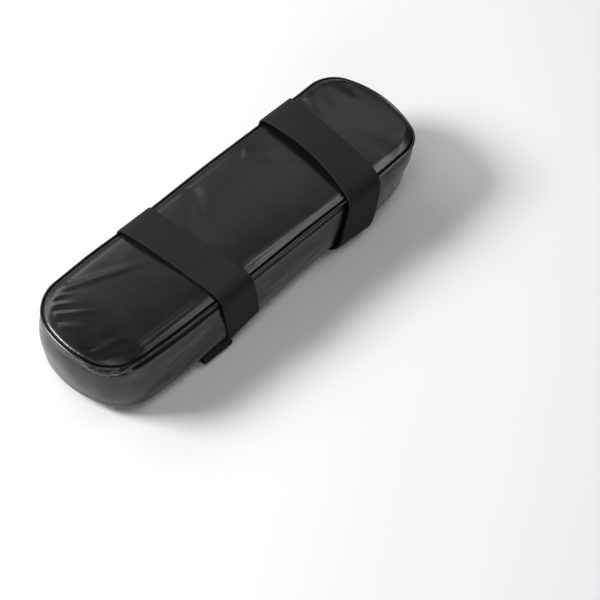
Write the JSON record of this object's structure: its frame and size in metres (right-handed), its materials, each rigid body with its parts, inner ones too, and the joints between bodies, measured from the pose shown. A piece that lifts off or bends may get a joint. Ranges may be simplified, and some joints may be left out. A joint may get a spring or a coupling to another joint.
{
  "type": "chair armrest pad",
  "caption": "Leather-topped foam pad with rounded ends that straps onto a chair's arm with elastic bands and ladder-lock buckles.",
  "frame": {"origin": "below the pad's middle, in the plane of the lowest webbing", "axes": "+X along the pad towards its shorter rounded end, +Y across it away from the buckles, +Z out of the leather top"},
  "size_m": [0.298, 0.094, 0.0528],
  "materials": {
    "pu_leather": "glossy black imitation leather",
    "grip_cloth": "matt black cloth with small raised grip dots",
    "elastic": "matt black woven elastic",
    "buckle_plastic": "moulded black plastic with a soft sheen",
    "memory_foam": "open-cell foam",
    "thread": "black sewing thread"
  },
  "bodies": {
    "pad": {"bottom_panel": "grip_cloth", "bottom_seam_thread": "thread", "foam_core": "memory_foam", "front_buckle_tab": "elastic", "front_strap": "elastic", "front_strap_tack": "thread", "front_tab_tack": "thread", "rear_buckle_tab": "elastic", "rear_strap": "elastic", "rear_strap_tack": "thread", "rear_tab_tack": "thread", "side_band": "pu_leather", "side_join_thread": "thread", "top_panel": "pu_leather", "top_seam_thread": "thread"},
    "front_buckle": {"front_buckle": "buckle_plastic"},
    "front_tail": {"front_strap_tail": "elastic"},
    "rear_buckle": {"rear_buckle": "buckle_plastic"},
    "rear_tail": {"rear_strap_tail": "elastic"}
  },
  "joints": [
    {"name": "front_buckle_tilt", "type": "hinge", "parent": "pad", "child": "front_buckle", "pos_m": [-0.058, -0.036, 0.0061], "axis": [1, 0, 0], "range_deg": [-2.5, 1.5]},
    {"name": "front_tail_lift", "type": "hinge", "parent": "pad", "child": "front_tail", "pos_m": [-0.04, -0.0395, 0.00075], "axis": [-1, 0, 0], "range_deg": [0, 135]},
    {"name": "rear_buckle_tilt", "type": "hinge", "parent": "pad", "child": "rear_buckle", "pos_m": [0.076, -0.036, 0.0061], "axis": [1, 0, 0], "range_deg": [-2.5, 1.5]},
    {"name": "rear_tail_lift", "type": "hinge", "parent": "pad", "child": "rear_tail", "pos_m": [0.07, -0.0395, 0.00075], "axis": [-1, 0, 0], "range_deg": [0, 135]}
  ]
}
